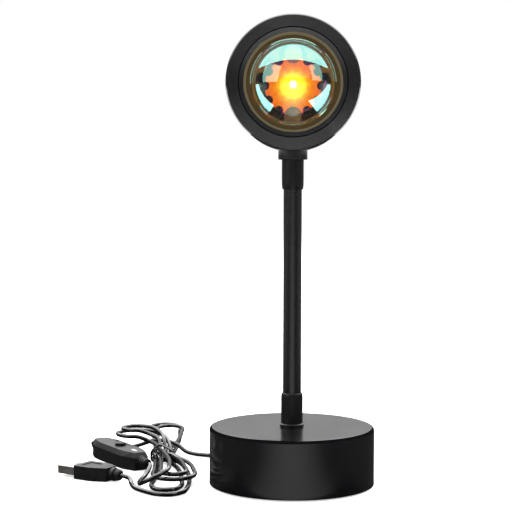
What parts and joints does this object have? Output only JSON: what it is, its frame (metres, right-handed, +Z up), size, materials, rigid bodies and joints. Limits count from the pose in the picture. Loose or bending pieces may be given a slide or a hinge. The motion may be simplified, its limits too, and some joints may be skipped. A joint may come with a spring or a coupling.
{
  "type": "sunset projection lamp",
  "caption": "Black USB sunset projection lamp: round head with glass dome lens on a bendable gooseneck, weighted round base, hanked cord with push-button switch and USB-A plug.",
  "frame": {"origin": "centre of the foot pad's underside, on the floor", "axes": "+X to the viewer's right, +Y away from the viewer (the lens looks along -Y), +Z up"},
  "size_m": [0.1759, 0.2204, 0.2515],
  "materials": {
    "black_paint": "satin",
    "black_rubber": "matte",
    "black_plastic": "satin",
    "cord_jacket": "satin",
    "lens_glass": "gloss",
    "filter_glass": "gloss",
    "heat_sink_aluminium": "satin",
    "board": "satin",
    "green_board": "satin",
    "led_orange": "satin",
    "cast_iron": "matte",
    "steel": "satin",
    "zinc_plated": "satin",
    "brass": "satin",
    "plug_nickel": "gloss",
    "white_plastic": "satin"
  },
  "bodies": {
    "base": {"base_cover": "black_paint", "bottom_plate": "steel", "foot_pad": "black_rubber", "counterweight": "cast_iron", "base_screws": "zinc_plated", "cable_grommet": "black_rubber", "cable_stop": "black_plastic", "base_cable": "cord_jacket", "base_nipple": "brass", "base_washer": "steel", "base_nut": "steel", "lower_sleeve": "black_paint", "neck_core_bottom": "steel", "neck_jacket": "black_rubber", "neck_wire": "cord_jacket", "cord_lead": "cord_jacket", "cord_hank": "cord_jacket", "cord_tie": "black_plastic", "cord_plug_run": "cord_jacket", "cord_switch_run": "cord_jacket", "switch_lower": "black_plastic", "switch_upper": "black_plastic", "switch_spring": "steel", "switch_board": "green_board", "switch_window": "white_plastic", "switch_reliefs": "black_rubber", "usb_shell": "plug_nickel", "usb_overmould": "black_plastic", "usb_tongue": "white_plastic"},
    "neck_1": {"neck_link_1": "steel"},
    "neck_2": {"neck_link_2": "steel"},
    "neck_3": {"neck_link_3": "steel"},
    "neck_4": {"neck_link_4": "steel"},
    "neck_5": {"neck_link_5": "steel"},
    "neck_6": {"neck_link_6": "steel"},
    "neck_7": {"neck_link_7": "steel"},
    "head": {"neck_core_top": "steel", "upper_sleeve": "black_paint", "collar": "black_paint", "head_nipple": "brass", "saddle_washer": "steel", "head_nut": "steel", "head_housing": "black_paint", "front_bezel": "black_paint", "lens": "lens_glass", "lens_gasket": "black_rubber", "colour_filter": "filter_glass", "lens_barrel": "black_plastic", "led_board": "board", "led_emitter": "led_orange", "led_screws": "zinc_plated", "heat_sink": "heat_sink_aluminium", "driver_board": "green_board", "head_cable": "cord_jacket", "rear_cover": "black_plastic", "rear_screws": "zinc_plated"},
    "button": {"switch_button": "black_plastic"}
  },
  "joints": [
    {"name": "neck_tilt_1", "type": "hinge", "parent": "base", "child": "neck_1", "pos_m": [0, 0, 0.05692], "axis": [1, 0, 0], "range_deg": [-21, 21], "deforming": ["neck_jacket", "neck_wire"]},
    {"name": "neck_lean_1", "type": "hinge", "parent": "neck_1", "child": "neck_2", "pos_m": [0, 0, 0.07076], "axis": [0, 1, 0], "range_deg": [-21, 21]},
    {"name": "neck_tilt_2", "type": "hinge", "parent": "neck_2", "child": "neck_3", "pos_m": [0, 0, 0.08459], "axis": [1, 0, 0], "range_deg": [-21, 21]},
    {"name": "neck_lean_2", "type": "hinge", "parent": "neck_3", "child": "neck_4", "pos_m": [0, 0, 0.09843], "axis": [0, 1, 0], "range_deg": [-21, 21]},
    {"name": "neck_tilt_3", "type": "hinge", "parent": "neck_4", "child": "neck_5", "pos_m": [0, 0, 0.11227], "axis": [1, 0, 0], "range_deg": [-21, 21]},
    {"name": "neck_lean_3", "type": "hinge", "parent": "neck_5", "child": "neck_6", "pos_m": [0, 0, 0.12611], "axis": [0, 1, 0], "range_deg": [-21, 21]},
    {"name": "neck_tilt_4", "type": "hinge", "parent": "neck_6", "child": "neck_7", "pos_m": [0, 0, 0.13994], "axis": [1, 0, 0], "range_deg": [-21, 21]},
    {"name": "neck_lean_4", "type": "hinge", "parent": "neck_7", "child": "head", "pos_m": [0, 0, 0.15378], "axis": [0, 1, 0], "range_deg": [-21, 21]},
    {"name": "button_press", "type": "slide", "parent": "base", "child": "button", "axis": [0, 0, -1], "range_m": [0, 0.0014], "stiffness_N_per_m": 400, "springref_m": -0.0008, "deforming": ["switch_spring"]}
  ],
  "couplings": [
    {"joint": "neck_tilt_2", "follows": "neck_tilt_1", "ratio": 1},
    {"joint": "neck_lean_2", "follows": "neck_lean_1", "ratio": 1},
    {"joint": "neck_tilt_3", "follows": "neck_tilt_1", "ratio": 1},
    {"joint": "neck_lean_3", "follows": "neck_lean_1", "ratio": 1},
    {"joint": "neck_tilt_4", "follows": "neck_tilt_1", "ratio": 1},
    {"joint": "neck_lean_4", "follows": "neck_lean_1", "ratio": 1}
  ]
}
